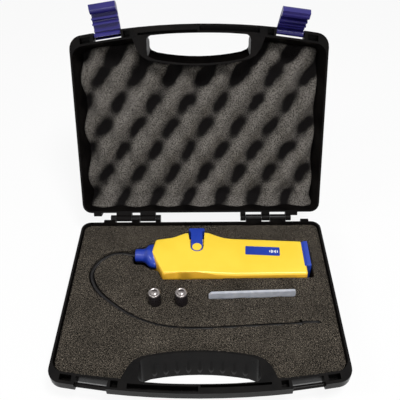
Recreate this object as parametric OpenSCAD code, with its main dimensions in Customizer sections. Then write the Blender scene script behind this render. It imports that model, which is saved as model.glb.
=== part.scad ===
// Foam-lined carry case, standing open, with a handheld gas leak detector and its spares in the foam.
// Origin: centre of the flat underside. X runs to the right, Y to the hinges, Z up.
// Inside the case the modules count from the middle of the rear rim: y = 0 is the rear wall's
// outer face and z = 0 the plane where the two halves meet.

/* [Case] */
// Width over the rims
case_w = 330; // [328:1:334]
// Depth from the rear wall to the front of the handle
case_d = 251; // [250:1:254]
// Height of each half
half_h = 37; // [37:0.5:39]
// Height of the upright band round the rim
band_h = 12; // [11.5:0.5:13]
// Wall thickness
wall = 2.5; // [2.2:0.1:2.8]
// Radius that the front edge bows to
bow_r = 900; // [880:10:950]
// Width of the hand hole
hand_w = 132; // [128:1:134]

/* [Lid and latches] */
// Angle that the lid stands open
lid_open = 115; // [90:1:115]
// Angle of the left latch from the lid's rim plane
left_latch_lean = 0; // [0:1:20]
// Angle of the right latch from the lid's rim plane
right_latch_lean = 46; // [30:1:60]
// Width of a latch
latch_w = 34; // [30:1:34.5]
// Diameter of the steel hinge pins
pin_d = 3; // [2.5:0.1:3]

/* [Foam] */
// Depth of the base foam's face below the rim
foam_drop = 3; // [2:0.5:4]
// Depth of the lid foam's peaks below the rim
peak_drop = 17; // [16.8:0.1:18]
// Depth of the lid foam's hollows below its peaks
egg_depth = 16.5; // [8:0.5:17]
// Spacing of the hollows across the lid
egg_x = 43.2; // [40:0.1:46]
// Spacing of the hollows up the lid
egg_y = 64.6; // [60:0.1:70]

/* [Detector] */
// Thickness of the detector's housing
body_t = 38; // [36:1:38]
// Height of the housing's upper face above the rim
body_rise = 8; // [7:0.5:8]
// Thickness of the housing's handle end
handle_t = 28; // [27.5:0.5:32]
// Diameter of the flexible probe
probe_d = 6.4; // [5:0.1:6.6]

/* [Spares] */
// Diameter of a spare cell
cell_d = 14.4; // [14:0.1:14.5]
// Length of a spare cell with its terminal
cell_l = 50.5; // [49.5:0.1:50.5]

/* [Hidden] */
$fn = 64;
eps = 0.01;
gap = 0.4;                          // room between a foam and the wall beside it

rear_y = case_d / 2;                // places the case over the origin
hinge_y = 8;                        // hinge axis behind the rear wall
front_corner_r = 18;
rear_corner_r = 12;
band_step = 1.5;                    // step in from the band to the tray below it
flange = 10.5;                      // depth of the front flange in front of the tray's wall
side_draft = 7;                     // lean of the tray's walls over their height
front_draft = 6.5;
floor_z = wall - half_h;            // inner floor of a half

arch_y = -202.5;                    // rear edge of the hand hole at the rim, on the centre line
arch_fall = 7.5;                    // how far that edge falls forward, to its ends and to the underside
bar_w = 11;                         // depth of the handle bar
hand_r = 6;
block_side = 84;                    // half width of the walls round the hand hole, at the front
block_arch = 64;                    // the same at the arch's ends
block_shoulder = [[79, -220.5], [73, -212]];

latch_x = 116;                      // middle of each latch
latch_turn = asin(latch_x / bow_r) + 0.6;
rod_y = -238.5;
rod_z = -9;
rod_r = 2.5;
notch_w = latch_w + 1.4;

hinge_x = 91;                       // middle of each hinge
knuckle_r = 4.5;
outer_knuckles = [[-35, -28], [-5.5, 5.5], [28, 35]];
inner_knuckles = [[-27.5, -6], [6, 27.5]];
pin_run = 0.05;                     // radial clearance of the pins in the lid

pad_top = body_rise - body_t;       // the detector lies on the lower pad
mid_z = body_rise - body_t / 2;     // plane where the housing's halves meet

nose = [-66, -54];                  // front of the housing, on the probe's axis
flare_r = 12.3;                     // collar at the housing, and how far its centre lies forward there
flare_drop = 3;
pivot = [-4.4, -52.5];              // axis of the switch lever
boss_r = 6.2;
head_end = -10;                     // where the head's face begins to fall to the handle's, and where it ends
handle_start = 48;
plate_in = 1.3;                     // recess of the lever's side plates below the housing's faces
plate_t = 5.4;
egg_skew = 0.25;                    // share by which the hollows run together on one diagonal
roll_rise = 11;                     // rise of the lid foam's face towards the rim at the rear wall, and its reach
roll_run = 17;
cell_spots = [[-54.5, -132], [-22.3, -132]];
sleeve_at = [63.5, -124.3];

// Corners of the housing seen from above, anticlockwise, each with its rounding radius.
housing_corners = [[-48, -97.3, 4], [136.3, -94.8, 2.5], [136.3, -38.2, 2.5], [30.5, -32, 30], [9.5, -24.4, 3.4],
    [-21, -26.2, 3.4], [-37, -34.2, 30], [-60.5, -38.2, 4], [-64.8, -60, 9]];
// Foam pocket round the housing, with room for the thumb on the lever and for the battery door.
pocket_corners = [[-48, -97.3, 4], [144, -94.8, 2.5], [144, -36.5, 2.5], [30.5, -32, 30], [11, -17, 4],
    [-22, -17, 4], [-37, -34.2, 30], [-60.5, -38.2, 4], [-64.8, -60, 9]];
// Bay of the nose collar and the probe's ferrule
nose_bay = [[-92, -60.2], [-86.5, -62], [-76, -62.4], [-69, -70.4], [-55, -71], [-55, -43], [-69, -43.6],
    [-76, -45], [-86.5, -45.4], [-92, -47.8]];
// Route of the probe from the nose round the foam's slit.
probe_route = [[-78, -54, -11], [-91, -54, -11], [-105, -52, -9.4], [-120, -55.5, -8.4], [-133.5, -68, -8], [-139.5, -86, -8],
    [-134.5, -103, -8], [-124, -118, -8], [-110, -130.5, -8], [-94, -143, -8], [-69, -157, -8],
    [-39, -166, -8], [2, -168.5, -8], [60, -165.5, -8], [120, -162, -8]];
probe_steps = 62;
tip_turn = 3.4;                     // heading of the probe's end

// ---- Geometry helpers ----

function arc(cx, cy, r, a0, a1, n) =
    [for (i = [0:n]) let (a = a0 + (a1 - a0) * i / n) [cx + r * cos(a), cy + r * sin(a)]];
function at_z(points, z) = [for (p = points) [p.x, p.y, z]];
function unit(v) = v / norm(v);
function left_of(v) = [-v.y, v.x];
function cross_z(a, b) = a.x * b.y - a.y * b.x;
function flat(lists) = [for (l = lists) each l];

// Rounds one corner p between its neighbours a and b with an arc of n steps.
function fillet(a, p, b, r, n) =
    let (u = unit(a - p), v = unit(b - p), half = acos(u * v) / 2, c = p + unit(u + v) * r / sin(half),
         s = p + u * r / tan(half) - c, e = p + v * r / tan(half) - c, a0 = atan2(s.y, s.x),
         turn = atan2(cross_z(s, e), s * e))
    arc(c.x, c.y, r, a0, a0 + turn, n);
function rounded(corners, n = 5) =
    let (m = len(corners))
    flat([for (i = [0:m - 1]) let (a = corners[(i + m - 1) % m], p = corners[i], b = corners[(i + 1) % m])
        fillet([a.x, a.y], [p.x, p.y], [b.x, b.y], p.z, n)]);
// Moves every edge of an anticlockwise outline inwards by d, and fits the corner radii to it.
function inset_corners(corners, d) =
    let (m = len(corners))
    [for (i = [0:m - 1])
        let (a = corners[(i + m - 1) % m], p = corners[i], b = corners[(i + 1) % m],
             e0 = unit([p.x - a.x, p.y - a.y]), e1 = unit([b.x - p.x, b.y - p.y]),
             n0 = left_of(e0), n1 = left_of(e1), q = [p.x, p.y] + (n0 + n1) * d / (1 + n0 * n1),
             bend = cross_z(e0, e1) > 0 ? -d : d)
        [q.x, q.y, max(p.z + bend, 0.3)]];

// Solid through a stack of rings with equal counts, lowest ring first, each anticlockwise.
module skin(rings) {
    n = len(rings[0]);
    last = (len(rings) - 1) * n;
    sides = [for (j = [0:len(rings) - 2], i = [0:n - 1])
        let (a = j * n + i, b = j * n + (i + 1) % n) each [[a, a + n, b + n], [a, b + n, b]]];
    polyhedron(flat(rings), concat([[for (i = [0:n - 1]) i]], [[for (i = [n - 1:-1:0]) last + i]], sides));
}

// Tube along a route, from rings square to it.
function route_point(p, t) =
    let (i = min(floor(t), len(p) - 2), u = t - i, a = p[max(i - 1, 0)], b = p[i], c = p[i + 1],
         d = p[min(i + 2, len(p) - 1)])
    0.5 * (2 * b + (c - a) * u + (2 * a - 5 * b + 4 * c - d) * u * u + (3 * b - a - 3 * c + d) * u * u * u);
function route_points(p, steps) = [for (k = [0:steps]) route_point(p, k * (len(p) - 1) / steps)];
function heading(p, k) = unit(p[min(k + 1, len(p) - 1)] - p[max(k - 1, 0)]);
module tube(route, r, steps, sides) {
    p = route_points(route, steps);
    rings = [for (k = [0:steps])
        let (h = heading(p, k), s = unit(cross(h, [0, 0, 1])), u = cross(s, h))
        [for (i = [0:sides - 1]) p[k] + r * (cos(360 * i / sides) * s + sin(360 * i / sides) * u)]];
    skin(rings);
}
// Flat band of a given width along a route, as a closed outline.
function ribbon(route, w, steps) =
    let (p = route_points(route, steps),
         edge = function(side) [for (k = [0:steps])
             let (h = heading(p, k), s = unit([-h.y, h.x])) [p[k].x, p[k].y] + side * w / 2 * s])
    concat(edge(-1), [for (k = [steps:-1:0]) edge(1)[k]]);

module in_case() { translate([0, rear_y, half_h]) children(); }
// Places what is drawn for the closed lid where the open lid is.
module in_lid() { in_case() translate([0, hinge_y, 0]) rotate([-lid_open, 0, 0]) translate([0, -hinge_y, 0]) children(); }
module both_sides() { children(); mirror([1, 0, 0]) children(); }

// ---- Case halves: one moulding, used for the base and turned over for the lid ----

// Outline of a half, set in by side at the sides and rear and by front at the front.
function front_edge(side, front) =
    let (w = case_w / 2 - side, yc = bow_r - case_d, r = bow_r - front, rf = max(front_corner_r - side, 4),
         fx = w - rf, fy = yc - sqrt(pow(r - rf, 2) - fx * fx), a = atan2(fy - yc, fx),
         bow = arc(0, yc, r, 180 - a, 360 + a, 12))
    concat(arc(-fx, fy, rf, 180, 180 - a, 6), [for (i = [1:11]) bow[i]], arc(fx, fy, rf, a, 0, 6));
function rear_edge(side) =
    let (w = case_w / 2 - side, rr = max(rear_corner_r - side, 4))
    concat(arc(w - rr, -side - rr, rr, 0, 90, 5), arc(rr - w, -side - rr, rr, 90, 180, 5));
function case_outline(side, front) = concat(front_edge(side, front), rear_edge(side));
function case_ring(side, front, z) = at_z(case_outline(side, front), z);

// Set-in of the tray's inner wall at a height z below the rim.
function inner_side(z) = wall + side_draft * z / floor_z;
function inner_front(z) = wall + flange + front_draft * z / floor_z;

function arch_line(shift, half) =
    [for (i = [-4:4]) let (x = -i * half / 4) [x, arch_y - shift - arch_fall * pow(x / (hand_w / 2), 2)]];

module band() {
    chamfer = 1.2;
    skin([case_ring(chamfer, chamfer, -band_h), case_ring(0, 0, chamfer - band_h), case_ring(0, 0, 0)]);
}

module tray_outside() {
    edge = 2.5;
    skin([case_ring(band_step + side_draft + edge, flange + front_draft + edge, -half_h),
        case_ring(band_step + side_draft, flange + front_draft, edge - half_h),
        case_ring(band_step, flange, -band_h), case_ring(band_step, flange, -band_h / 2)]);
}

// Walls round the hand hole, which the tray's hollow leaves standing.
function block_outline(shift, grow) =
    concat([[block_side + grow, -case_d], [block_side + grow, -233 - shift]],
        [for (p = block_shoulder) [p.x + grow, p.y - shift + grow * 0.8]],
        [for (p = arch_line(shift - wall - grow, block_arch + grow * 0.6)) p],
        [for (i = [1, 0]) let (p = block_shoulder[i]) [-p.x - grow, p.y - shift + grow * 0.8]],
        [[-block_side - grow, -233 - shift], [-block_side - grow, -case_d]]);

module tray_inside() {
    over = 1;
    difference() {
        skin([case_ring(inner_side(floor_z), inner_front(floor_z), floor_z),
            case_ring(inner_side(0), inner_front(0), 0), case_ring(inner_side(0), inner_front(0), over)]);
        skin([at_z(block_outline(arch_fall, 0), -half_h), at_z(block_outline(0, 0), 0), at_z(block_outline(0, 0), 2 * over)]);
    }
}

function hand_outline(shift) =
    let (x = hand_w / 2, front = bar_w - case_d + x * x / (2 * bow_r), rear = arch_y - arch_fall - shift)
    concat(arc(x - hand_r, front + hand_r, hand_r, -90, 0, 4), arc(x - hand_r, rear - hand_r, hand_r, 0, 75, 4),
        arch_line(shift, x - hand_r - 4), arc(hand_r - x, rear - hand_r, hand_r, 105, 180, 4),
        arc(hand_r - x, front + hand_r, hand_r, 180, 270, 4),
        [for (i = [-3:3]) let (t = i * x / 5) [t, bar_w - case_d + t * t / (2 * bow_r)]]);

module hand_hole() {
    over = 1;
    skin([at_z(hand_outline(arch_fall), -half_h - over), at_z(hand_outline(arch_fall), -half_h),
        at_z(hand_outline(0), 0), at_z(hand_outline(0), over)]);
    // Below the bar the hand's space is open to the front.
    translate([-hand_w / 2, -case_d - over, -half_h - over])
        cube([hand_w, case_d + arch_y - 4 * arch_fall + over, half_h - band_h + over]);
}

// Slot that follows the bowed front edge between x0 and x1.
module front_slot(x0, x1, near, far, depth) {
    intersection() {
        translate([0, bow_r - case_d, -depth]) difference() {
            cylinder(h = depth + 1, r = bow_r - near, $fn = 360);
            translate([0, 0, -1]) cylinder(h = depth + 3, r = bow_r - far, $fn = 360);
        }
        translate([x0, -case_d, -depth]) cube([x1 - x0, 30, depth + 1]);
    }
}

module front_pockets() {
    depth = band_h - wall;
    channel_end = 77;
    // The bar's left half has a channel for the other half's lip, and its right half a slot behind the lip.
    front_slot(-channel_end, -1.2, wall, bar_w - wall, depth);
    front_slot(1.2, channel_end, bar_w - 4, bar_w - 1.1, depth);
    both_sides() {
        front_slot(channel_end + 10, channel_end + 18, wall, flange, depth);
        front_slot(latch_x + notch_w / 2 + 4, case_w / 2 - 14, wall + 1, flange, depth);
    }
}

module at_latch() { translate([latch_x, rod_y, rod_z]) rotate(latch_turn) children(); }

module latch_notch() {
    back = 5.5;
    at_latch() translate([-notch_w / 2, -30, -band_h]) cube([notch_w, 30 + back, 2 * band_h]);
}
module latch_rod() {
    hold = 1;
    at_latch() rotate([0, 90, 0]) cylinder(h = notch_w + 2 * hold, r = rod_r, center = true);
}

// Finger ridges down the hand hole's rear wall, fading out towards the rim and the outside.
module finger_ridges() {
    pitch = 13;
    r = 4.6;
    proud = 1.4;
    fade = 9;
    root = 0.5;
    lean = atan(arch_fall / half_h);
    intersection() {
        translate([0, root, 0]) hand_hole();
        for (i = [-4:4]) {
            fall = arch_fall * pow(i * pitch / (hand_w / 2), 2);
            translate([i * pitch, arch_y - fall - arch_fall + r - proud, -half_h]) rotate([-lean, 0, 0]) {
                cylinder(h = fade, r1 = r - proud - 0.6, r2 = r, $fn = 32);
                translate([0, 0, fade]) cylinder(h = half_h - 6 - fade, r1 = r, r2 = r - proud - 0.6, $fn = 32);
            }
        }
    }
}

module knuckles(spans) {
    for (s = spans) translate([s[0], 0, 0]) {
        translate([0, hinge_y, 0]) rotate([0, 90, 0]) cylinder(h = s[1] - s[0], r = knuckle_r);
        translate([0, -wall / 2, -band_h + 3]) cube([s[1] - s[0], hinge_y + wall / 2, band_h - 3]);
    }
}
module pin_bore(r) { translate([0, hinge_y, 0]) rotate([0, 90, 0]) cylinder(h = 80, r = r, center = true); }

module rear_lugs() {
    proud = 5;
    for (x = [-130, 144.8]) translate([x - 5.5, -wall / 2, -band_h]) cube([11, proud + wall / 2, band_h]);
}

module half_shell(bore_r) {
    difference() {
        union() {
            band();
            tray_outside();
            rear_lugs();
        }
        tray_inside();
        hand_hole();
        front_pockets();
        both_sides() latch_notch();
    }
    finger_ridges();
    both_sides() latch_rod();
    difference() {
        union() {
            translate([hinge_x, 0, 0]) knuckles(inner_knuckles);
            translate([-hinge_x, 0, 0]) knuckles(outer_knuckles);
        }
        for (x = [-hinge_x, hinge_x]) translate([x, 0, 0]) pin_bore(bore_r);
    }
}

module base_shell() { color("#1c1c1e") in_case() half_shell(pin_d / 2); }
module lid_shell() { color("#202022") in_lid() rotate([0, 180, 0]) half_shell(pin_d / 2 + pin_run); }

module hinge_pin(x) {
    in_case() translate([x, hinge_y, 0]) rotate([0, 90, 0]) cylinder(h = 70, r = pin_d / 2, center = true);
}
module hinge_pin_left() { color("silver") hinge_pin(-hinge_x); }
module hinge_pin_right() { color("silver") hinge_pin(hinge_x); }

// ---- Latches ----

// Side view of a latch, clipped on its rod at the origin: x runs along the blade, y into the case.
module latch_profile() {
    hook_at = -2 * rod_z;
    clip_r = 4.2;
    plate = [-6.6, -4];
    jaw_t = 1.8;
    tip = 39;
    roll_r = 6;
    difference() {
        union() {
            circle(r = clip_r);
            translate([-1, plate[0] + 1]) square([4, -plate[0] - 1]);
            translate([-2, plate[0]]) square([tip - 4, plate[1] - plate[0]]);
            translate([5.6, plate[1] - eps]) square([2.2, 1.6]);
            translate([hook_at - 4.4, plate[1] - eps]) square([9.4, jaw_t - plate[1]]);
            // Finger roll at the tip.
            translate([tip - roll_r, plate[0] + roll_r]) circle(r = roll_r);
            translate([tip - roll_r, plate[0] + roll_r]) square([roll_r, roll_r - 0.6]);
        }
        circle(r = rod_r + pin_run);
        translate([hook_at, 0]) circle(r = rod_r + 0.3);
        rotate(135) translate([0, -2.25]) square([8, 4.5]);
        translate([hook_at - 2.3, 0]) square([4.6, 6]);
        translate([hook_at + 4.6, plate[1]]) square([3.6, 8]);
    }
}

// Latch on a rod of the lid, its blade leaning from the lid's rim plane by lean.
module latch(side, lean) {
    in_lid() mirror([side < 0 ? 1 : 0, 0, 0]) translate([latch_x, rod_y, -rod_z])
        rotate(latch_turn) rotate([lean, 0, 0]) mirror([0, 0, 1]) rotate([0, -90, 0]) rotate(-90)
        linear_extrude(latch_w, center = true) latch_profile();
}
module latch_left() { color("#3a34a0") latch(-1, left_latch_lean); }
module latch_right() { color("#3a34a0") latch(1, right_latch_lean); }

// ---- Foam ----

module foam_slab(low, high) {
    difference() {
        skin([case_ring(inner_side(low) + gap, inner_front(low) + gap, low),
            case_ring(inner_side(high) + gap, inner_front(high) + gap, high)]);
        translate([0, 0, low - 1]) linear_extrude(high - low + 2) polygon(block_outline(0, gap));
    }
}

module cell_pockets(low) {
    for (p = cell_spots) translate([p.x, p.y, low]) cylinder(h = half_h, d = cell_d + gap);
}

module base_pad() {
    color("#4a453f") in_case() difference() {
        foam_slab(floor_z, pad_top);
        cell_pockets(-half_h);
    }
}

module probe_slit() {
    w = probe_d + 1.1;
    translate([0, 0, mid_z - w / 2 - 0.2]) linear_extrude(half_h) {
        polygon(ribbon(probe_route, w, probe_steps));
        translate([116, -166.8]) square([28, 11]);
    }
}

module base_foam() {
    color("#4a453f") in_case() difference() {
        foam_slab(pad_top, -foam_drop);
        translate([0, 0, pad_top - 1]) linear_extrude(half_h) polygon(rounded(inset_corners(pocket_corners, -gap)));
        translate([0, 0, pad_top - 1]) linear_extrude(half_h) polygon(nose_bay);
        cell_pockets(pad_top - 1);
        translate([sleeve_at.x, sleeve_at.y, -14.2]) rotate(2) translate([-53.5, -2, 0]) cube([107, 4, half_h]);
        probe_slit();
    }
}

// Height of the lid foam's face above the closed rim plane. Along the hinges the foam rolls up to the rim.
function egg_height(x, y) =
    let (a = 360 * (x + 84) / egg_x, b = 360 * (y + 124) / egg_y,
         near = min(max((y + roll_run) / (roll_run - 5), 0), 1))
    peak_drop + egg_depth * (0.5 + 0.5 * (cos(a) * cos(b) - egg_skew * sin(a) * sin(b)))
        - roll_rise * near * near * (3 - 2 * near);

// Section of the lid foam at x: its waved face, then its flat back. The walls lean in behind the face.
function foam_front(x, z) =
    let (walls = front_edge(inner_side(-z) + gap, inner_front(-z) + gap),
         arch = block_outline(0, gap))
    max(lookup(x, walls), abs(x) < block_side ? lookup(x, [for (p = arch) if (p.y > -240) p]) : -case_d);
function foam_rear(x, z) = lookup(x, rear_edge(inner_side(-z) + gap));
function foam_section(x, rows, lean) =
    let (back = -floor_z,
         wide = function(z) x * (1 - lean * (z - peak_drop)),
         z0 = egg_height(x, foam_front(x, peak_drop)),
         z1 = egg_height(x, foam_rear(x, peak_drop)),
         y0 = foam_front(wide(z0), z0),
         y1 = foam_rear(wide(z1), z1))
    concat([for (k = rows) let (y = y0 + (y1 - y0) * k, z = egg_height(x, y)) [wide(z), y, z]],
        [[wide(back), foam_rear(wide(back), back), back], [wide(back), foam_front(wide(back), back), back]]);

module lid_foam() {
    half_w = case_w / 2 - inner_side(-peak_drop) - gap;
    lean = side_draft / -floor_z / half_w;
    step = egg_x / 6;
    ends = [0, 1.6, 4, 8];
    columns = concat([for (e = ends) -half_w + e], [for (i = [-20:20]) i * step], [for (i = [3:-1:0]) half_w - ends[i]]);
    rows = [for (i = [0:34]) i / 34];
    color("#6b6668") in_lid() skin([for (x = columns) foam_section(x, rows, lean)]);
}

// ---- Detector ----

function housing_ring(inset, z) = at_z(rounded(inset_corners(housing_corners, inset)), z);

// Height of the housing's face above the meeting plane: the head is thicker than the handle, and the
// edge at the battery door is rounded over.
function face_z(x) =
    let (t = min(max((x - head_end) / (handle_start - head_end), 0), 1), over = max(x - housing_corners[1].x + 3, 0))
    body_t / 2 + (handle_t - body_t) / 2 * t * t * (3 - 2 * t) - 0.27 * over * over;
// Section of the housing at x: clear of it at the head, and from there on rounded along its edges.
function form_section(x) =
    let (long = [for (p = housing_corners) if (p.y < -90) [p.x, p.y]],
         back = [for (p = rounded(housing_corners)) if (p.y > -40) p],
         head = x < head_end, front = lookup(x, long) - (head ? 9 : 0.5), rear = lookup(x, back) + (head ? 9 : 0.5),
         h = face_z(x) + (head ? 6 : 0), edge = head ? [[0, 0], [1, 0], [2, 0], [3, 0]] : [[0, -5], [1.3, -2.3], [2.5, -0.8], [4.3, 0]])
    concat([[x, rear, -1]], [for (e = edge) [x, rear - e.x, h + e.y]],
        [for (i = [3:-1:0]) [x, front + edge[i].x, h + edge[i].y]], [[x, front, -1]]);
module housing_form() {
    stations = concat([-80, head_end - 0.1], [for (i = [0:11]) head_end + i * (handle_start - head_end) / 11],
        [for (i = [0:4]) housing_corners[1].x - 3 + i * 0.9]);
    skin([for (x = stations) form_section(x)]);
}

// Half of the housing from the meeting plane up to its face, hollow behind a wall.
module housing_half() {
    h = body_t / 2;
    shell_t = 2.2;
    scoop_r = 400;
    room_h = handle_t / 2 + 1 - shell_t;
    difference() {
        intersection() {
            skin([housing_ring(0, 0), housing_ring(0.5, h - 5), housing_ring(1.3, h - 2.2), housing_ring(2.4, h - 0.7), housing_ring(4, h)]);
            housing_form();
        }
        // Rooms for the electronics and for the cells
        translate([14, -90, -1]) cube([56, 44, room_h]);
        translate([73, -90, -1]) cube([59, 44, room_h]);
        translate([-44, -87, -1]) cube([48, 21, room_h + 3]);
        // Bay of the lever's side plate, round the boss it turns on, and slot of its thumb pad
        difference() {
            translate([0, 0, h - plate_in - plate_t - 0.3]) linear_extrude(h) {
                translate(pivot) circle(r = 8.6);
                polygon([[-13, pivot.y], [4.4, pivot.y], [5.2, -34], [6.1, -20], [-18, -20], [-15.6, -34]]);
            }
            translate([pivot.x, pivot.y, 0]) cylinder(h = h - 0.8, r = boss_r);
        }
        translate([0, 0, -1]) linear_extrude(h + 2) polygon([[5.2, -34], [6.1, -20], [-18, -20], [-15.6, -34]]);
        // Socket of the nose and of the battery door
        translate([-70, nose.y - flare_drop, 0]) rotate([0, 90, 0]) cylinder(h = 19.5, r = flare_r);
        translate([133.3, -82, -1]) cube([6, 43.5, h + 2]);
        // Finger scoop in the head's long side
        translate([-8, -97 - scoop_r + 2, -1]) cylinder(h = h + 2, r = scoop_r, $fn = 300);
    }
}

module on_detector() { in_case() translate([0, 0, mid_z]) children(); }

module housing_upper() { color("#fbe04a") on_detector() housing_half(); }
module housing_lower() {
    color("#fbe04a") on_detector() mirror([0, 0, 1]) difference() {
        housing_half();
        screw_places() cylinder(h = 3, d1 = 3, d2 = 6.6);
    }
}

module screw_places() {
    for (p = [[-30, -91.3], [-44, -43.5], [71.5, -49], [71.5, -87]]) translate([p.x, p.y, face_z(p.x) - 3]) children();
}
module case_screws() {
    color("#8a8d90") on_detector() mirror([0, 0, 1]) screw_places() difference() {
        cylinder(h = 2.9, d1 = 2.9, d2 = 6.4);
        translate([-3.4, -0.5, 2.1]) cube([6.8, 1, 1]);
    }
}

// Lever: two side plates on the housing's bosses, joined by the thumb pad.
module lever_stem() {
    difference() {
        union() {
            circle(r = 7.8);
            polygon([[-7.7, 0], [7.7, 0], [7.2, 22], [-8.2, 22]]);
        }
        circle(r = boss_r + pin_run);
    }
}
module switch_lever() {
    h = body_t / 2 - plate_in;
    color("#304aa6") on_detector() translate(pivot) {
        for (m = [0, 1]) mirror([0, 0, m]) translate([0, 0, h - plate_t]) linear_extrude(plate_t) lever_stem();
        translate([0, 0, -h]) linear_extrude(2 * h) polygon(rounded([[-7.8, 20, 0.5], [6.6, 20, 0.5], [7.2, 28.2, 1],
            [10.2, 29.9, 1.2], [9.4, 33.6, 1.6], [-10.6, 33.6, 1.6], [-11.4, 29.9, 1.2], [-8.2, 28.2, 1]], 4));
    }
}

// Turned and moulded pieces on the probe's axis, profiled along X.
module on_probe_axis() { in_case() translate([0, nose.y, mid_z]) rotate([0, 90, 0]) rotate([0, 0, 90]) children(); }

module nose_collar() {
    // Each ring: place along X, radius, and share of the flare's forward shift
    rings = [[-86, 6.9, 0], [-85.4, 7.4, 0], [-78, 7.5, 0.05], [-75, 7.9, 0.15], [-72.5, 8.6, 0.3], [-70, 9.7, 0.55],
        [-67.5, 11.1, 0.8], [-65.4, 12, 1], [-64.5, flare_r - 0.05, 1], [-51, flare_r - 0.05, 1]];
    color("#304aa6") on_detector() difference() {
        skin([for (q = rings) [for (p = arc(nose.y - q[2] * flare_drop, 0, q[1], 360, 10, 35)) [q[0], p.x, -p.y]]]);
        translate([-90, nose.y, 0]) rotate([0, 90, 0]) cylinder(h = 45, r = probe_d / 2 + gap);
    }
}

module probe_ferrule() {
    color("#1b1b1d") on_probe_axis() rotate_extrude()
        polygon([[probe_d / 2 + gap, -91], [4.4, -91], [5.4, -86], [probe_d / 2 + gap, -86]]);
}

module gooseneck() { color("#161618") in_case() tube(probe_route, probe_d / 2, probe_steps, 8); }

module sensor_tip() {
    color("#2a2a2d") in_case() translate([120.1, -162, -8]) rotate(tip_turn) rotate([0, 90, 0]) difference() {
        rotate_extrude() polygon([[0, 0], [3.8, 0], [4.4, 0.8], [4.4, 15], [3.6, 21], [0, 21]]);
        translate([0, 0, 12]) cylinder(h = 10, r = 2.2);
    }
}

module battery_door() {
    color("#304aa6") on_detector() {
        translate([136.4, -81, -body_t / 2 + 5.4]) cube([5.6, 41.5, body_t - 10.8]);
        translate([133.6, -80.5, -body_t / 2 + 6.4]) cube([3.2, 40.5, body_t - 12.8]);
    }
}

module label_plate() {
    color("#304aa6") on_detector() translate([81.4, -57.1, handle_t / 2]) rotate(-3.5)
        linear_extrude(0.5) polygon(rounded([[-22.4, -7.2, 1.4], [22.4, -7.2, 1.4], [22.4, 7.2, 1.4], [-22.4, 7.2, 1.4]], 4));
}

module circuit_board() {
    color("#2f6b3c") on_detector() {
        translate([15, -89, -0.8]) cube([54, 42, 1.6]);
        translate([22, -84, 0.8]) cube([10, 10, 1.6]);
        translate([40, -72, 0.8]) cube([14, 8, 2.4]);
        translate([24, -60, 0.8]) cylinder(h = 7, r = 3);
    }
}
module sounder() {
    color("#222222") on_detector() translate([56, -83, 0.8]) difference() {
        cylinder(h = 6.5, r = 6);
        translate([0, 0, 3]) cylinder(h = 4, r = 1);
    }
}

inside_cells = [-80.5, -58];
module battery_tray() {
    color("#303236") on_detector() difference() {
        translate([73.6, -89.6, -10]) cube([57, 43, 8]);
        for (y = inside_cells) translate([74.6, y, 0]) rotate([0, 90, 0]) cylinder(h = 55, r = 7.5);
    }
}
module battery_cells() {
    color("#b9bcc0") on_detector() for (y = inside_cells) translate([77.2, y, 0]) rotate([0, 90, 0]) {
        cylinder(h = 49.3, r = 7.1);
        cylinder(h = 50.5, r = 2.6);
    }
}
module contact_springs() {
    color("#c9ccd0") on_detector() for (y = inside_cells) translate([74.7, y, 0]) rotate([0, 90, 0])
        difference() {
            cylinder(h = 2.4, r = 4);
            translate([0, 0, 0.5]) cylinder(h = 2, r = 2.8);
        }
}

// ---- Spares standing in the foam ----

module spare_cell(p) {
    nub_h = 1.2;
    color("#2a2a30") in_case() translate([p.x, p.y, floor_z]) {
        cylinder(h = nub_h + 1, r = 2.7);
        translate([0, 0, nub_h]) rotate_extrude() polygon([[0, 0], [cell_d / 2 - 0.8, 0], [cell_d / 2, 0.8],
            [cell_d / 2, cell_l - nub_h - 1.3], [cell_d / 2 - 0.9, cell_l - nub_h - 0.2],
            [cell_d / 2 - 1.9, cell_l - nub_h - 0.2], [cell_d / 2 - 2.3, cell_l - nub_h - 0.7],
            [cell_d / 2 - 3.3, cell_l - nub_h - 0.7], [cell_d / 2 - 3.8, cell_l - nub_h], [0, cell_l - nub_h]]);
    }
}
module spare_cell_left() { spare_cell(cell_spots[0]); }
module spare_cell_right() { spare_cell(cell_spots[1]); }

// Flat frosted sleeve that guards the probe's tip, on edge in its slit.
module probe_sleeve() {
    size = [106, 3.2, 20];
    skin_t = 0.7;
    color([0.7, 0.74, 0.85, 0.7]) in_case() translate([sleeve_at.x, sleeve_at.y, -14]) rotate(2) difference() {
        translate([0, size.y / 2, 0]) rotate([90, 0, 0]) linear_extrude(size.y)
            polygon(rounded([[-53, 0, 2], [53, 0, 2], [53, 20, 2], [-50, 20, 3.5], [-53, 16, 3]], 4));
        translate([-size.x / 2 + 6, -size.y / 2 + skin_t, skin_t]) cube([size.x, size.y - 2 * skin_t, size.z - 2 * skin_t]);
    }
}

base_shell();
lid_shell();
hinge_pin_left();
hinge_pin_right();
latch_left();
latch_right();
base_pad();
base_foam();
lid_foam();
housing_upper();
housing_lower();
switch_lever();
nose_collar();
probe_ferrule();
gooseneck();
sensor_tip();
battery_door();
label_plate();
circuit_board();
sounder();
battery_tray();
battery_cells();
contact_springs();
case_screws();
spare_cell_left();
spare_cell_right();
probe_sleeve();
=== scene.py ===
import bpy
import bmesh
import math
import numpy as np
from mathutils import Matrix, Vector, noise


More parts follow.
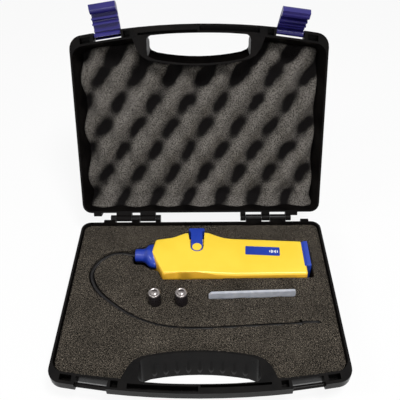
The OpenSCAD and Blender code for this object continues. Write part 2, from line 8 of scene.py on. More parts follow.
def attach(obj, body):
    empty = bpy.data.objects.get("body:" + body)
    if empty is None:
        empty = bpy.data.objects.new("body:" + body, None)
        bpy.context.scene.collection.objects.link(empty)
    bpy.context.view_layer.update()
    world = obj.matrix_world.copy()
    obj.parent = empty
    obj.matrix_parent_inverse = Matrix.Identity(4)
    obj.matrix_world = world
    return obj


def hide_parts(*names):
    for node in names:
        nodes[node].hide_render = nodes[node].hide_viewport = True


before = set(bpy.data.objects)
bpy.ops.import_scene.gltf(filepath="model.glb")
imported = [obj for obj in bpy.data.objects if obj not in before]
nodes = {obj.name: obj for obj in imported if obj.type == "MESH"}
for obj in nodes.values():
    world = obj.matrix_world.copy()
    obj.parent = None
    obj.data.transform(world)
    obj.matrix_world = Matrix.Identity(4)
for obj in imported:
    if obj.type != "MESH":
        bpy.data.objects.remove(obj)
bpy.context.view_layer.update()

# The case's plan, in metres, counted from the middle of the rear rim as in the solids.
plan = {
    "halfWidth": 0.165, "depth": 0.251, "bow": 0.9, "frontCorner": 0.018, "rearCorner": 0.012,
    "halfHeight": 0.037, "wall": 0.0025, "flange": 0.0105, "sideLean": 0.007, "frontLean": 0.0065,
    "leastCorner": 0.004, "hingeBack": 0.008, "lidOpen": 115.0,
}
caseShift = Matrix.Translation((0, plan["depth"] / 2, plan["halfHeight"]))
lidShift = (
    caseShift
    @ Matrix.Translation((0, plan["hingeBack"], 0))
    @ Matrix.Rotation(math.radians(-plan["lidOpen"]), 4, "X")
    @ Matrix.Translation((0, -plan["hingeBack"], 0))
)


def inCase(x, y, z):
    # A point given in millimetres from the middle of the rear rim, in the scene's own frame.
    return caseShift @ (Vector((x, y, z)) / 1000)


# Egg-crate foam: its pitches, its depths behind the rim, and its mesh. It rises along the hinges.
eggCrate = {
    "pitchX": 0.0465, "pitchY": 0.0668, "phaseX": 0.01825, "phaseY": 0.0815,
    "peak": 0.0172, "hollow": 0.0165, "skew": 0.3, "lift": 0.0007,
    "rise": 0.011, "riseRun": 0.017, "riseEnd": 0.005, "riseFlatten": 0.55,
    "back": 0.0344, "thinnest": 0.001, "room": 0.0004, "columns": 200, "rows": 150, "sineShare": 0.12,
    "drift": 0.00105, "driftScale": 22, "driftSeed": 3.1, "grit": 0.00035, "gritScale": 420, "gritSeed": 8.0,
    "edgeRoll": 0.0022, "rollDepth": 0.0016,
}
# Painted shade in the lid foam's colour: a leaning lens that darkens each hollow, and a painted shadow
# beside the front walls.
paintedHollowShade = {
    "phaseX": 0.0172, "phaseY": 0.0826, "skew": 0.6, "bend": 0.44, "narrow": 0.23,
    "reach": (-0.45, 0.85), "wander": 0.012, "wallShade": 0.75, "colour": (9, 7, 7),
    "frontBow": 0.556, "frontNear": (-0.192, -0.22), "frontEdge": (-0.2285, -0.2345),
    "archBow": 1.72, "archNear": (-0.168, -0.192), "archEdge": (-0.1935, -0.199),
    "archHalf": (0.084, 0.076),
}

# The camera stands in front, above the base, and looks down into the open case.
view = {
    "pitch": 43.217, "yaw": -1.211, "roll": 1.2275, "focal": 518.27, "pictureWidth": 400,
    "at": (0.010514, -0.381061, 0.55494), "clip": (0.01, 20),
}


def makeCamera():
    pitch, yaw, roll = (math.radians(view[k]) for k in ("pitch", "yaw", "roll"))
    ahead = Vector((math.sin(yaw) * math.cos(pitch), math.cos(yaw) * math.cos(pitch), -math.sin(pitch)))
    level = Vector((math.cos(yaw), -math.sin(yaw), 0))
    down = ahead.cross(level)
    right = math.cos(roll) * level + math.sin(roll) * down
    down = ahead.cross(right)
    data = bpy.data.cameras.new("camera")
    data.sensor_width = 36
    data.lens = view["focal"] / view["pictureWidth"] * data.sensor_width
    data.clip_start, data.clip_end = view["clip"]
    camera = bpy.data.objects.new("camera", data)
    bpy.context.collection.objects.link(camera)
    turn = Matrix((right, -down, -ahead)).transposed()
    camera.matrix_world = Matrix.Translation(view["at"]) @ turn.to_4x4()
    bpy.context.scene.camera = camera


makeCamera()
print("camera set")


class Wire:
    # One output socket of a graph's nodes. Sums on it add Math nodes.
    def __init__(self, graph, socket):
        self.graph, self.socket = graph, socket

    def math(self, operation, other=None, swap=False):
        pair = [self] if other is None else ([other, self] if swap else [self, other])
        return self.graph.node("Math", {"operation": operation}, dict(enumerate(pair)))

    def __add__(self, other):
        return self.math("ADD", other)

    def __sub__(self, other):
        return self.math("SUBTRACT", other)

    def __rsub__(self, other):
        return self.math("SUBTRACT", other, swap=True)

    def __mul__(self, other):
        return self.math("MULTIPLY", other)

    __radd__ = __add__
    __rmul__ = __mul__

    def sine(self):
        return self.math("SINE")

    def cosine(self):
        return self.math("COSINE")

    def magnitude(self):
        return self.math("ABSOLUTE")

    def larger(self, other):
        return self.math("MAXIMUM", other)

    def ramp(self, low, high, start=0.0, end=1.0, smooth=False):
        settings = {"clamp": True, "interpolation_type": "SMOOTHSTEP" if smooth else "LINEAR"}
        values = {"Value": self, "From Min": low, "From Max": high, "To Min": start, "To Max": end}
        return self.graph.node("MapRange", settings, values)


class Graph:
    # The nodes of a material or of the world, all made by one method.
    def __init__(self, tree):
        self.tree = tree

    def node(self, kind, settings=None, values=None, out=0):
        made = self.tree.nodes.new("ShaderNode" + kind)
        for key, value in (settings or {}).items():
            setattr(made, key, value)
        for key, value in (values or {}).items():
            if isinstance(value, Wire):
                self.tree.links.new(value.socket, made.inputs[key])
            else:
                made.inputs[key].default_value = value
        return Wire(self, made.outputs[out])

    def seen(self):
        # 1 for what the camera sees, straight on or by way of a mirror or a clear piece, else 0.
        kinds = ("Is Camera Ray", "Is Glossy Ray", "Is Transmission Ray")
        straight, mirrored, through = (self.node("LightPath", out=kind) for kind in kinds)
        return (straight + mirrored + through).math("MINIMUM", 1.0)

    def show(self, wire, output):
        self.tree.links.new(wire.socket, self.tree.nodes[output].inputs[0])


class Finish(Graph):
    # A material: constants sit on the shader's own sockets, and wires feed what varies.
    def __init__(self, name, **constants):
        self.material = bpy.data.materials.new(name)
        self.material.use_nodes = True
        super().__init__(self.material.node_tree)
        self.shader = self.tree.nodes["Principled BSDF"]
        for key, value in constants.items():
            self.shader.inputs[key.replace("_", " ")].default_value = value

    def place(self):
        return self.node("TexCoord", out="Object")

    def axis(self, which, vector=None):
        return self.node("SeparateXYZ", {}, {"Vector": vector or self.place()}, "XYZ".index(which))

    def noise(self, scale, detail=2.0, roughness=0.5):
        values = {"Vector": self.place(), "Scale": scale, "Detail": detail, "Roughness": roughness}
        return self.node("TexNoise", {}, values)

    def blend(self, mask, first, second):
        return self.node("Mix", {"data_type": "RGBA"}, {0: mask, 6: first, 7: second}, 2)

    def bump(self, height, depth, strength=1.0):
        return self.node("Bump", {}, {"Height": height, "Distance": depth, "Strength": strength})

    def feed(self, **wires):
        for key, wire in wires.items():
            self.tree.links.new(wire.socket, self.shader.inputs[key.replace("_", " ")])
        return self.material


def linear(c):
    # One screen value, 0 to 255, as the linear value that renders as it.
    return ((c / 255 + 0.055) / 1.055) ** 2.4 if c > 10 else c / 255 / 12.92


def rgb(r, g, b):
    return (linear(r), linear(g), linear(b), 1.0)


def grainedPlastic(name, dark, pale, roughness, ior=1.45, grain=0.00008):
    f = Finish(name, IOR=ior)
    cloud = f.noise(60, 3)
    fine = f.noise(1500, 2)
    tone = f.blend(cloud.ramp(0.35, 0.7), dark, pale)
    rough = cloud.ramp(0.3, 0.7, roughness - 0.05, roughness + 0.07)
    return f.feed(Base_Color=tone, Roughness=rough, Normal=f.bump(fine, grain))


def openFoam(name, pit, strut, glint, scale, mottle, shade=None):
    # Open-celled foam: dark cells between paler struts. A painted shade, where there is one, darkens its
    # hollows.
    f = Finish(name, Specular_IOR_Level=0.12)
    spot = f.node("TexVoronoi", {"feature": "F1"}, {"Vector": f.place(), "Scale": scale}, 0)
    fine = f.noise(scale * 1.7, 3, 0.75)
    broad = f.noise(26, 3)
    web = spot.ramp(0.15, 0.75) * 0.6 + fine * 0.5
    tone = f.blend(web.ramp(0.42, 0.7), pit, strut)
    # Painted glints: pale specks where the noise runs high, in place of struts catching the light.
    tone = f.blend((fine * (1.1 - mottle) + broad * mottle).ramp(0.6, 0.78), tone, glint)
    if shade:
        # Painted shade: the foam's colour goes dark where the shade is high.
        tone = f.blend(shade(f), tone, rgb(*paintedHollowShade["colour"]))
    rough = broad.ramp(0.2, 0.8, 0.9, 1.0)
    return f.feed(Base_Color=tone, Roughness=rough, Normal=f.bump(web, 0.0011, 0.9))


def hollowShade(f):
    # Painted shade from 0 to 1 over the lid's foam, in the lid's own plane: its hollows, and a painted
    # shadow beside the front walls.
    e, h = eggCrate, paintedHollowShade
    back = lidShift.inverted()
    turn = {"Vector": f.place(), "Location": back.translation, "Rotation": back.to_euler()}
    local = f.node("Mapping", {}, turn)
    x = f.axis("X", local) + (f.noise(34, 2) - 0.5) * h["wander"]
    y = f.axis("Y", local) + (f.noise(47, 2) - 0.5) * h["wander"]
    a = (x + h["phaseX"]) * (2 * math.pi / e["pitchX"])
    b = (y + h["phaseY"]) * (2 * math.pi / e["pitchY"])
    b = b + a.sine() * b.cosine() * h["bend"]
    lens = a.cosine() * b.cosine() - a.sine() * b.sine() * h["skew"] + (b * 2).cosine() * h["narrow"]
    # Painted shadow beside the front walls and the arch, which stand over the foam.
    front, arch = y - x * x * h["frontBow"], y + x * x * h["archBow"]
    inside = x.magnitude().ramp(*h["archHalf"])
    near = front.ramp(*h["frontNear"]).larger(arch.ramp(*h["archNear"]) * inside)
    edge = front.ramp(*h["frontEdge"]).larger(arch.ramp(*h["archEdge"]) * inside)
    shade = (lens * (1 + near) + near * h["wallShade"]).ramp(*h["reach"], smooth=True)
    return shade.larger(edge)


def smoothPlastic(name, low, high, roughness, side=None, gloss=0.5, grain=0.00004):
    # Polished pigmented plastic. A side colour, where there is one, is painted shade: it warms the faces
    # that don't look up.
    f = Finish(name, Specular_IOR_Level=gloss)
    cloud = f.noise(24, 2)
    fine = f.noise(900, 2)
    tone = f.blend(cloud.ramp(0.3, 0.7), low, high)
    # Painted shade: faces that turn away from up take the side colour.
    if side:
        upward = f.axis("Z", f.node("TexCoord", out="Normal"))
        tone = f.blend(upward.magnitude().ramp(0.25, 0.95, 1, 0), tone, side)
    rough = fine.ramp(0.2, 0.8, roughness - 0.04, roughness + 0.06)
    return f.feed(Base_Color=tone, Roughness=rough, Normal=f.bump(fine, grain))


def cellWrap():
    # A dark wrap in two tones up to the cell's shoulder, and bare metal above it.
    wrapTop, toneLine = (0.0505, 0.0512), (0.030, 0.0302)
    f = Finish("cell_wrap", Specular_IOR_Level=0.5)
    height = f.axis("Z")
    metal = height.ramp(*wrapTop)
    scratches = f.noise(700, 3)
    wrap = f.blend(height.ramp(*toneLine), rgb(46, 30, 20), rgb(20, 16, 18))
    tone = f.blend(metal, wrap, rgb(140, 134, 132))
    rough = scratches.ramp(0.3, 0.7, 0.24, 0.36)
    return f.feed(Base_Color=tone, Metallic=metal * 0.9, Roughness=rough, Normal=f.bump(scratches, 0.00003))


def frostedSleeve():
    glow = {"Subsurface_Weight": 0.15, "Subsurface_Radius": (0.004, 0.005, 0.008)}
    f = Finish("frosted_sleeve", Specular_IOR_Level=0.45, **glow)
    cloud = f.noise(130, 3)
    fine = f.noise(1100, 2)
    tone = f.blend(cloud.ramp(0.3, 0.7), rgb(164, 168, 178), rgb(190, 192, 200))
    return f.feed(Base_Color=tone, Roughness=fine.ramp(0.2, 0.8, 0.4, 0.55), Normal=f.bump(fine, 0.00005))


def brightSteel():
    f = Finish("bright_steel", Metallic=1.0)
    fine = f.noise(800, 3)
    tone = f.blend(fine, rgb(150, 150, 152), rgb(205, 205, 208))
    return f.feed(Base_Color=tone, Roughness=fine.ramp(0.2, 0.8, 0.25, 0.4))


def lacqueredBoard():
    f = Finish("lacquered_board", Specular_IOR_Level=0.5)
    lines = f.node("TexBrick", {}, {"Vector": f.place(), "Scale": 130.0, "Mortar Size": 0.03}, 1)
    tone = f.blend(lines, rgb(30, 84, 44), rgb(52, 120, 66))
    return f.feed(Base_Color=tone, Roughness=lines.ramp(0, 1, 0.35, 0.45))


finishes = {
    "shell": grainedPlastic("shell_plastic", rgb(7, 6, 6), rgb(13, 11, 10), 0.4, ior=1.14),
    "baseShell": grainedPlastic("base_shell_plastic", rgb(7, 6, 6), rgb(13, 11, 10), 0.3, ior=1.2),
    "shadedShell": grainedPlastic("shaded_shell_plastic", rgb(7, 6, 6), rgb(13, 11, 10), 0.8, ior=1.0),
    "lidFoam": openFoam(
        "lid_foam_cells", rgb(44, 41, 38), rgb(103, 99, 94), rgb(150, 144, 140), 640, 0.3, hollowShade
    ),
    "baseFoam": openFoam("base_foam_cells", rgb(4, 3, 2), rgb(58, 53, 46), rgb(180, 168, 152), 640, 0.1),
    "latch": smoothPlastic("latch_plastic", rgb(30, 26, 88), rgb(42, 36, 108), 0.3, gloss=0.3),
    # The housing's last colour is painted shade on its side faces.
    "housing": smoothPlastic(
        "housing_plastic", rgb(248, 209, 59), rgb(250, 217, 69), 0.3, rgb(255, 195, 58)
    ),
    "fitting": smoothPlastic("fitting_plastic", rgb(24, 50, 150), rgb(38, 70, 176), 0.3),
    "probe": grainedPlastic("probe_sheath", rgb(14, 13, 13), rgb(24, 22, 22), 0.36, ior=1.3),
    "tray": grainedPlastic("tray_plastic", rgb(40, 41, 44), rgb(58, 59, 62), 0.5),
    "cell": cellWrap(),
    "sleeve": frostedSleeve(),
    "steel": brightSteel(),
    "board": lacqueredBoard(),
    "print": smoothPlastic("label_print", rgb(232, 234, 236), rgb(244, 245, 246), 0.4),
}
print("finishes made")

nodeFinish = {
    "base_shell": "baseShell", "lid_shell": "shell", "hinge_pin_left": "steel", "hinge_pin_right": "steel",
    "latch_left": "latch", "latch_right": "latch", "base_pad": "baseFoam", "base_foam": "baseFoam",
    "lid_foam": "lidFoam", "housing_upper": "housing", "housing_lower": "housing",
    "switch_lever": "fitting", "nose_collar": "fitting", "battery_door": "fitting", "label_plate": "fitting",
    "probe_ferrule": "probe", "gooseneck": "probe", "sensor_tip": "probe",
    "circuit_board": "board", "sounder": "tray", "battery_tray": "tray", "battery_cells": "steel",
    "contact_springs": "steel", "case_screws": "steel",
    "spare_cell_left": "cell", "spare_cell_right": "cell", "probe_sleeve": "sleeve",
}
# Widths of the rounded edges, in metres. An edge past the sharp angle, in degrees, is rounded.
edgeRound = {
    "base_shell": 0.0005, "lid_shell": 0.0005, "latch_left": 0.0005, "latch_right": 0.0005,
    "housing_upper": 0.0016, "housing_lower": 0.0004, "switch_lever": 0.0007, "battery_door": 0.0006,
    "probe_sleeve": 0.0004, "label_plate": 0.00015,
}
edges = {"sharpAngle": 38.0, "segments": 2, "weld": 0.00001}


def dress(name, o):
    o.data.materials.clear()
    o.data.materials.append(finishes[nodeFinish[name]])
    o.data.polygons.foreach_set("use_smooth", [True] * len(o.data.polygons))
    weld = o.modifiers.new("weld", "WELD")
    weld.merge_threshold = edges["weld"]
    if name in edgeRound:
        bevel = o.modifiers.new("edges", "BEVEL")
        bevel.width, bevel.segments = edgeRound[name], edges["segments"]
        bevel.limit_method, bevel.angle_limit = "ANGLE", math.radians(edges["sharpAngle"])
        bevel.harden_normals = True
        bevel.use_clamp_overlap = True
        even = o.modifiers.new("shading", "WEIGHTED_NORMAL")
        even.keep_sharp = False


for name, o in nodes.items():
    dress(name, o)


# The lid's hand hole has a dull wall towards the hinges, which mirrors nothing at a grazing view.
handHole = {"halfWidth": 0.07, "front": -0.225, "rear": -0.19, "facing": -0.5}


def shadeHandHole():
    h = handHole
    mesh = nodes["lid_shell"].data
    mesh.materials.append(finishes["shadedShell"])
    back = lidShift.inverted()
    for face in mesh.polygons:
        centre = back @ face.center
        outward = back.to_3x3() @ face.normal
        within = abs(centre.x) < h["halfWidth"] and h["front"] < centre.y < h["rear"]
        if within and outward.y < h["facing"]:
            face.material_index = 1


shadeHandHole()
print("solids dressed")


def frontEdge(x, side, front):
    # The case's front edge in plan, moved in from the outer walls by side and front.
    w, r = plan["halfWidth"] - side, plan["bow"] - front
    corner = max(plan["frontCorner"] - side, plan["leastCorner"])
    centre = plan["bow"] - plan["depth"]
    fx = w - corner
    fy = centre - math.sqrt((r - corner) ** 2 - fx * fx)
    a = min(abs(x), w)
    if a < fx * r / (r - corner):
        return centre - math.sqrt(r * r - a * a)
    return fy - math.sqrt(max(corner**2 - (a - fx) ** 2, 0))


def rearEdge(x, side):
    # The rear edge in plan, moved in by side.
    corner = max(plan["rearCorner"] - side, plan["leastCorner"])
    over = abs(x) - (plan["halfWidth"] - side - corner)
    return -side - corner + (corner if over <= 0 else math.sqrt(max(corner**2 - over * over, 0)))


def between(pair, x):
    # Height at x of the line through a pair of points.
    (x0, y0), (x1, y1) = pair
    return y0 + (y1 - y0) * (x - x0) / (x1 - x0)


# The wall round the lid's hand hole in plan, where the foam meets it: an arch, then a shoulder.
archWall = {
    "crown": -0.1996, "fall": 0.0075, "halfWidth": 0.066, "archEnd": 0.0642,
    "shoulder": [(0.0734, -0.2117), (0.0794, -0.2202), (0.0844, -0.233)], "none": -1.0,
}


def archEdge(x):
    w = archWall
    arch = lambda u: w["crown"] - w["fall"] * (u / w["halfWidth"]) ** 2
    if abs(x) < w["archEnd"]:
        return arch(x)
    corners = [(w["archEnd"], arch(w["archEnd"]))] + w["shoulder"]
    for pair in zip(corners, corners[1:]):
        if abs(x) < pair[1][0]:
            return between(pair, abs(x))
    return w["none"]


def insetAt(depth):
    # How far the lid's inner walls stand in at a depth behind the rim: at the sides, and at the front.
    share = depth / (plan["halfHeight"] - plan["wall"])
    side = plan["wall"] + plan["sideLean"] * share
    return side, plan["wall"] + plan["flange"] + plan["frontLean"] * share


def link(name, vertices, faces, finish):
    mesh = bpy.data.meshes.new(name)
    mesh.from_pydata([tuple(v) for v in vertices], [], faces)
    mesh.validate()
    o = bpy.data.objects.new(name, mesh)
    bpy.context.collection.objects.link(o)
    mesh.materials.append(finishes[finish])
    mesh.polygons.foreach_set("use_smooth", [True] * len(mesh.polygons))
    return o


def wave(value, phase, pitch):
    # The angle of a pattern that repeats at a pitch.
    return 2 * math.pi * (value + phase) / pitch


def eggDepth(x, y):
    # Depth of the egg-crate face behind the rim, with hollows that lean into each other.
    e = eggCrate
    a, b = wave(x, e["phaseX"], e["pitchX"]), wave(y, e["phaseY"], e["pitchY"])
    share = 0.5 + 0.5 * (math.cos(a) * math.cos(b) - e["skew"] * math.sin(a) * math.sin(b))
    near = min(max((y + e["riseRun"]) / (e["riseRun"] - e["riseEnd"]), 0), 1)
    near = near * near * (3 - 2 * near)
    drift = noise.noise(Vector((x * e["driftScale"], y * e["driftScale"], e["driftSeed"]))) * e["drift"]
    grit = noise.noise(Vector((x * e["gritScale"], y * e["gritScale"], e["gritSeed"]))) * e["grit"]
    hollow = share * e["hollow"] * (1 - e["riseFlatten"] * near)
    return e["peak"] + e["lift"] + hollow - e["rise"] * near + drift + grit


def eggRange(x, side, front):
    # The foam's front and rear edges at x, with its inner walls moved in by side and front.
    room = eggCrate["room"]
    return frontEdge(x, side + room, front + room), rearEdge(x, side + room)


def makeLidFoam():
    # The face and the back are grids with the same rows and columns. Their edges lean in with the walls.
    e = eggCrate
    side0, front0 = insetAt(e["peak"])
    half = plan["halfWidth"] - side0 - e["room"]
    sideBack, frontBack = insetAt(e["back"])
    leanBack = (plan["halfWidth"] - sideBack - 2 * e["room"]) / half
    columns, rows = e["columns"], e["rows"]
    face, back = [], []
    for i in range(columns + 1):
        t = 2 * i / columns - 1
        x = half * (math.sin(t * math.pi / 2) * e["sineShare"] + t * (1 - e["sineShare"]))
        y0, y1 = eggRange(x, side0, front0)
        y0 = max(y0, archEdge(x))
        lowBack, highBack = eggRange(x * leanBack, sideBack, frontBack)
        lowBack = max(lowBack, archEdge(x))
        for j in range(rows + 1):
            part = j / rows
            y = y0 + (y1 - y0) * part
            depth = eggDepth(x, y)
            rim = min(half - abs(x), y - y0, y1 - y)
            if rim < e["edgeRoll"]:
                depth += e["rollDepth"] * (1 - rim / e["edgeRoll"]) ** 2
            depth = min(depth, e["back"] - e["thinnest"])
            side, front = insetAt(depth)
            lean = (plan["halfWidth"] - side - e["room"]) / half
            low, high = eggRange(x * lean, side, front)
            low = max(low, archEdge(x))
            face.append(Vector((x * lean, low + (high - low) * part, depth)))
            back.append(Vector((x * leanBack, lowBack + (highBack - lowBack) * part, e["back"])))
    n = len(face)
    at = lambda i, j: i * (rows + 1) + j
    faces = []
    for i in range(columns):
        for j in range(rows):
            a, b, c, d = at(i, j), at(i + 1, j), at(i + 1, j + 1), at(i, j + 1)
            faces += [(a, d, c, b), (n + a, n + b, n + c, n + d)]
    ring = [at(i, 0) for i in range(columns)] + [at(columns, j) for j in range(rows)]
    ring += [at(i, rows) for i in range(columns, 0, -1)] + [at(0, j) for j in range(rows, 0, -1)]
    for a, b in zip(ring, ring[1:] + ring[:1]):
        faces.append((a, b, n + b, n + a))
    foam = link("lidFoamSheet", [lidShift @ p for p in face + back], faces, "lidFoam")
    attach(foam, "lid")
    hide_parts("lid_foam")


makeLidFoam()
print("lid foam made")

# Cut foam in the base. The slot's lips lean in over the probe, a little on its first stretch and more on
# its last, and past its end they close over the sensor tip. Points are in millimetres, as inCase takes
# them, and other lengths in metres.
cutFoam = {
    "voxel": 0.0016, "padVoxel": 0.0022, "soften": (0.5, 2),
    "grit": 0.00035, "gritSink": 0.3, "gritScale": 260, "gritDepth": 0.02,
    "lipDepth": 0.006, "lipLeft": 0.0006, "lipRight": 0.0034, "lipChange": (0.35, 0.7),
    "lipStart": (0.0012, 0.0022), "lipReach": 0.0035, "lipRun": 0.006,
    "tipEnd": (143, -161, -8), "tipLip": 0.0048, "tipReach": 0.0056, "tipRun": 0.009,
    "routeSteps": 240, "bareSteps": 30, "tipSteps": 20, "batch": 4000,
    "bayDepth": (-25, 2),
    "noseBay": [
        (-88.5, -45), (-88.5, -70.5), (-86, -72.5), (-75, -73.5), (-63, -81.5), (-55, -83), (-50, -70),
        (-50, -40), (-60, -36.5), (-68, -37.5), (-74, -43),
    ],
}
probeRoute = [
    (-78, -54.5, -8), (-91, -54.5, -8.6), (-105, -52, -8.8), (-120, -55.5, -8.4), (-133.5, -68, -8),
    (-139.5, -86, -8), (-134.5, -103, -8), (-124, -118, -8), (-110, -130.5, -8), (-94, -143, -8),
    (-69, -157, -8), (-39, -166, -8), (2, -168.5, -8), (60, -165.5, -8), (120, -162, -8),
]


def routePoints(steps):
    # Smooth line through the probe's route.
    p = [inCase(*q) for q in probeRoute]
    line = []
    for k in range(steps + 1):
        t = k * (len(p) - 1) / steps
        i = min(int(t), len(p) - 2)
        u = t - i
        a, b, c, d = p[max(i - 1, 0)], p[i], p[i + 1], p[min(i + 2, len(p) - 1)]
        first, second, third = c - a, 2 * a - 5 * b + 4 * c - d, 3 * b - a - 3 * c + d
        line.append(0.5 * (2 * b + first * u + second * u * u + third * u**3))
    return line


def asSeen(o):
    # A new mesh of the object with its modifiers applied.
    return bpy.data.meshes.new_from_object(o.evaluated_get(bpy.context.evaluated_depsgraph_get()))


def remeshed(name, source, voxel, finish, cutter=None):
    o = bpy.data.objects.new(name, asSeen(source))
    bpy.context.collection.objects.link(o)
    if cutter:
        cut = o.modifiers.new("cut", "BOOLEAN")
        cut.operation, cut.object, cut.solver = "DIFFERENCE", cutter, "EXACT"
    m = o.modifiers.new("voxels", "REMESH")
    m.mode, m.voxel_size = "VOXEL", voxel
    s = o.modifiers.new("soften", "SMOOTH")
    s.factor, s.iterations = cutFoam["soften"]
    done = asSeen(o)
    o.modifiers.clear()
    o.data = done
    done.materials.clear()
    done.materials.append(finishes[finish])
    done.polygons.foreach_set("use_smooth", [True] * len(done.polygons))
    return o


def noseBayCutter():
    c = cutFoam
    n = len(c["noseBay"])
    corners = [inCase(x, y, z) for z in c["bayDepth"] for x, y in c["noseBay"]]
    ends = [tuple(range(n - 1, -1, -1)), tuple(range(n, 2 * n))]
    walls = [(i, (i + 1) % n, n + (i + 1) % n, n + i) for i in range(n)]
    return link("noseBayCutter", corners, ends + walls, "baseFoam")


def span(value, low, high):
    # 0 below low, 1 above high, and straight between.
    return np.clip((value - low) / (high - low), 0, 1)


def leanLips(co, top):
    # Moves the foam's upper walls in over the probe's slot and the sensor tip.
    c = cutFoam
    line = np.array(routePoints(c["routeSteps"]))[c["bareSteps"] :]
    onRoute = len(line)
    routeEnd, tipEnd = line[-1], np.array(inCase(*c["tipEnd"]))
    steps = c["tipSteps"]
    line = np.vstack([line] + [routeEnd + (tipEnd - routeEnd) * t for t in np.linspace(1 / steps, 1, steps)])
    near = np.where(co[:, 2] > top - c["lipDepth"])[0]
    for start in range(0, len(near), c["batch"]):
        part = near[start : start + c["batch"]]
        offset = co[part][:, None, :2] - line[None, :, :2]
        distance = np.linalg.norm(offset, axis=2)
        k = distance.argmin(1)
        d = distance[np.arange(len(part)), k]
        direction = offset[np.arange(len(part)), k] / np.maximum(d, 1e-6)[:, None]
        atTip = k >= onRoute
        close = c["lipLeft"] + (c["lipRight"] - c["lipLeft"]) * span(k / onRoute, *c["lipChange"])
        close = np.where(atTip, c["tipLip"], close)
        reach = np.where(atTip, c["tipReach"], c["lipReach"])
        run = np.where(atTip, c["tipRun"], c["lipRun"])
        fall = np.clip(1 - (d - reach) / run, 0, 1) * span(d, *c["lipStart"])
        height = span(co[part, 2], top - c["lipDepth"], top)
        co[part, :2] -= direction * (close * fall * height)[:, None]


def roughen(co, top):
    c = cutFoam
    for i, p in enumerate(co):
        if p[2] > top - c["gritDepth"]:
            co[i, 2] = min(p[2] + (noise.noise(Vector(p) * c["gritScale"]) - c["gritSink"]) * c["grit"], top)


def makeCutFoam():
    c = cutFoam
    cutter = noseBayCutter()
    foam = remeshed("cutFoamBlock", nodes["base_foam"], c["voxel"], "baseFoam", cutter)
    bpy.data.objects.remove(cutter)
    co = np.empty(len(foam.data.vertices) * 3)
    foam.data.vertices.foreach_get("co", co)
    co = co.reshape(-1, 3)
    top = co[:, 2].max()
    leanLips(co, top)
    roughen(co, top)
    foam.data.vertices.foreach_set("co", co.ravel())
    foam.data.update()
    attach(foam, "base")
    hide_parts("base_foam")
    pad = remeshed("underPad", nodes["base_pad"], c["padVoxel"], "baseFoam")
    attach(pad, "base")
    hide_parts("base_pad")


makeCutFoam()
print("base foam made")

# The flexible probe: a tube with wound ridges along its route.
probe = {"radius": 0.0031, "sides": 20, "rings": 760, "pitch": 0.0017, "ridge": 0.00012}


def makeProbe():
    rings = probe["rings"]
    line = routePoints(rings)
    vertices, faces = [], []
    run = 0.0
    for k, p in enumerate(line):
        ahead = (line[min(k + 1, rings)] - line[max(k - 1, 0)]).normalized()
        side = ahead.cross(Vector((0, 0, 1))).normalized()
        up = side.cross(ahead)
        if k:
            run += (p - line[k - 1]).length
        r = probe["radius"] + probe["ridge"] * math.cos(2 * math.pi * run / probe["pitch"])
        for i in range(probe["sides"]):
            a = 2 * math.pi * i / probe["sides"]
            vertices.append(p + r * (math.cos(a) * side + math.sin(a) * up))
    n = probe["sides"]
    for k in range(rings):
        for i in range(n):
            a, b = k * n + i, k * n + (i + 1) % n
            faces.append((a, a + n, b + n, b))
    faces.append(tuple(range(n)))
    faces.append(tuple(rings * n + i for i in range(n - 1, -1, -1)))
    o = link("woundProbe", vertices, faces, "probe")
    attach(o, "detector")
    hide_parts("gooseneck")


makeProbe()
print("probe made")

# The nose collar, in millimetres. Each ring gives its x, its middle in y and z, its half width and half
# height, and how far it bends with the housing's left end. That end's outline in plan gives x at each y.
collar = {
    "sides": 64, "middleX": -62.6,
    "outline": [(-39.5, -60.5), (-51.3, -63.3), (-59, -62.6), (-75.1, -57), (-95.1, -49.3)],
    "rings": [
        (-86, -55.5, -7, 8.2, 8.2, 0), (-85.3, -55.5, -7, 8.9, 8.9, 0), (-76, -55.5, -7, 9, 9, 0),
        (-74, -55.7, -7, 9.6, 9.4, 0), (-72, -56.2, -6.8, 11.4, 10.2, 0.1),
        (-70.5, -57, -6.4, 14.2, 11.2, 0.35), (-69, -57.7, -6.1, 17, 12.1, 0.7),
        (-66, -58, -6, 18.4, 12.5, 1), (-58, -58, -6, 18.4, 12.5, 1),
    ],
}


def noseEdge(y):
    outline = collar["outline"]
    for pair in zip(outline, outline[1:]):
        if y > pair[1][0]:
            return between(pair, y)
    return outline[-1][1]


def makeCollar():
    sides, rings = collar["sides"], collar["rings"]
    vertices, faces = [], []
    for x, yMiddle, zMiddle, halfWidth, halfHeight, follow in rings:
        for i in range(sides):
            a = 2 * math.pi * i / sides
            y, z = yMiddle + halfWidth * math.cos(a), zMiddle + halfHeight * math.sin(a)
            vertices.append(inCase(x + (noseEdge(y) - collar["middleX"]) * follow, y, z))
    for k in range(len(rings) - 1):
        for i in range(sides):
            a, b = k * sides + i, k * sides + (i + 1) % sides
            faces.append((a, b, b + sides, a + sides))
    faces.append(tuple(range(sides - 1, -1, -1)))
    last = (len(rings) - 1) * sides
    faces.append(tuple(last + i for i in range(sides)))
    o = link("flaredCollar", vertices, faces, "fitting")
    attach(o, "detector")
    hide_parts("nose_collar")


makeCollar()
print("collar made")

# Plain bars printed on the label plate, of three heights in turn, each at its x from the plate's middle.
labelPrint = {
    "at": (0.0814, -0.0571, 0.0035), "turn": -3.5, "bars": [0.0095, 0.0116, 0.0132, 0.0154, 0.017, 0.0194],
    "width": 0.0011, "height": 0.005, "least": 0.55, "thick": 0.00012, "below": 0.0004,
}


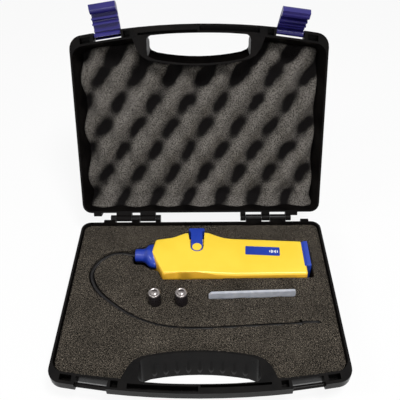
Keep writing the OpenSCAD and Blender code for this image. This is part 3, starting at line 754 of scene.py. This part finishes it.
def makeLabelPrint():
    l = labelPrint
    turn = Matrix.Rotation(math.radians(l["turn"]), 4, "Z")
    place = caseShift @ Matrix.Translation(l["at"]) @ turn
    bm = bmesh.new()
    for k, x in enumerate(l["bars"]):
        h = l["height"] * (l["least"] + (1 - l["least"]) * ((k * 5) % 3) / 2)
        made = bmesh.ops.create_cube(bm, size=1)["verts"]
        bmesh.ops.scale(bm, vec=(l["width"], h, l["thick"]), verts=made)
        bmesh.ops.translate(bm, vec=(x, -l["below"], l["thick"] / 2), verts=made)
    mesh = bpy.data.meshes.new("labelBars")
    bm.to_mesh(mesh)
    bm.free()
    o = bpy.data.objects.new("labelBars", mesh)
    bpy.context.collection.objects.link(o)
    mesh.materials.append(finishes["print"])
    o.matrix_world = place
    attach(o, "detector")


makeLabelPrint()
print("label printed")

# The stage: a pale floor that glows for the camera, a white backdrop and three soft lamps.
stage = {"floorHalf": 6.0, "floorTone": 0.86, "floorGlow": 0.9, "worldStrength": 0.2}


def paleFinish(name, tone, glow):
    # Lit as a matt floor, and seen by the camera and in mirrors as nearly white.
    f = Finish(name, Roughness=0.9, Specular_IOR_Level=0.1)
    f.shader.inputs["Base Color"].default_value = (tone, tone, tone, 1)
    light = f.node("Emission", {}, {"Color": (1, 1, 1, 1), "Strength": 1.0})
    matt = Wire(f, f.shader.outputs[0])
    f.show(f.node("MixShader", {}, {0: f.seen() * glow, 1: matt, 2: light}), "Material Output")
    return f.material


def makeFloor():
    mesh = bpy.data.meshes.new("floor")
    s = stage["floorHalf"]
    mesh.from_pydata([(-s, -s, 0), (s, -s, 0), (s, s, 0), (-s, s, 0)], [], [(0, 1, 2, 3)])
    floor = bpy.data.objects.new("floor", mesh)
    bpy.context.collection.objects.link(floor)
    mesh.materials.append(paleFinish("pale_floor", stage["floorTone"], stage["floorGlow"]))


def makeWorld():
    # A dim white light from all round, which itself is seen as white.
    world = bpy.data.worlds.new("studio")
    bpy.context.scene.world = world
    world.use_nodes = True
    g = Graph(world.node_tree)
    lit = g.tree.nodes["Background"]
    lit.inputs["Color"].default_value = (1, 1, 1, 1)
    lit.inputs["Strength"].default_value = stage["worldStrength"]
    white = g.node("Background", {}, {"Color": (1, 1, 1, 1), "Strength": 1.0})
    g.show(g.node("MixShader", {}, {0: g.seen(), 1: Wire(g, lit.outputs[0]), 2: white}), "World Output")


lamps = [
    {"name": "overhead", "at": (0.3, -0.3, 1.4), "aim": (0, 0.05, 0.1), "size": 0.4, "watts": 16},
    {"name": "left", "at": (-0.95, -0.3, 1.0), "aim": (0, 0, 0.08), "size": 0.5, "watts": 4},
    {"name": "front", "at": (-0.15, -1.2, 0.42), "aim": (0, 0, 0.05), "size": 0.3, "watts": 5},
]


def makeLamps():
    for l in lamps:
        data = bpy.data.lights.new(l["name"], "AREA")
        data.shape = "DISK"
        data.size, data.energy = l["size"], l["watts"]
        o = bpy.data.objects.new(l["name"], data)
        bpy.context.collection.objects.link(o)
        o.location = l["at"]
        o.rotation_euler = (Vector(l["aim"]) - Vector(l["at"])).to_track_quat("-Z", "Y").to_euler()


makeFloor()
makeWorld()
makeLamps()
bpy.context.scene.view_settings.view_transform = "Standard"
print("stage lit")
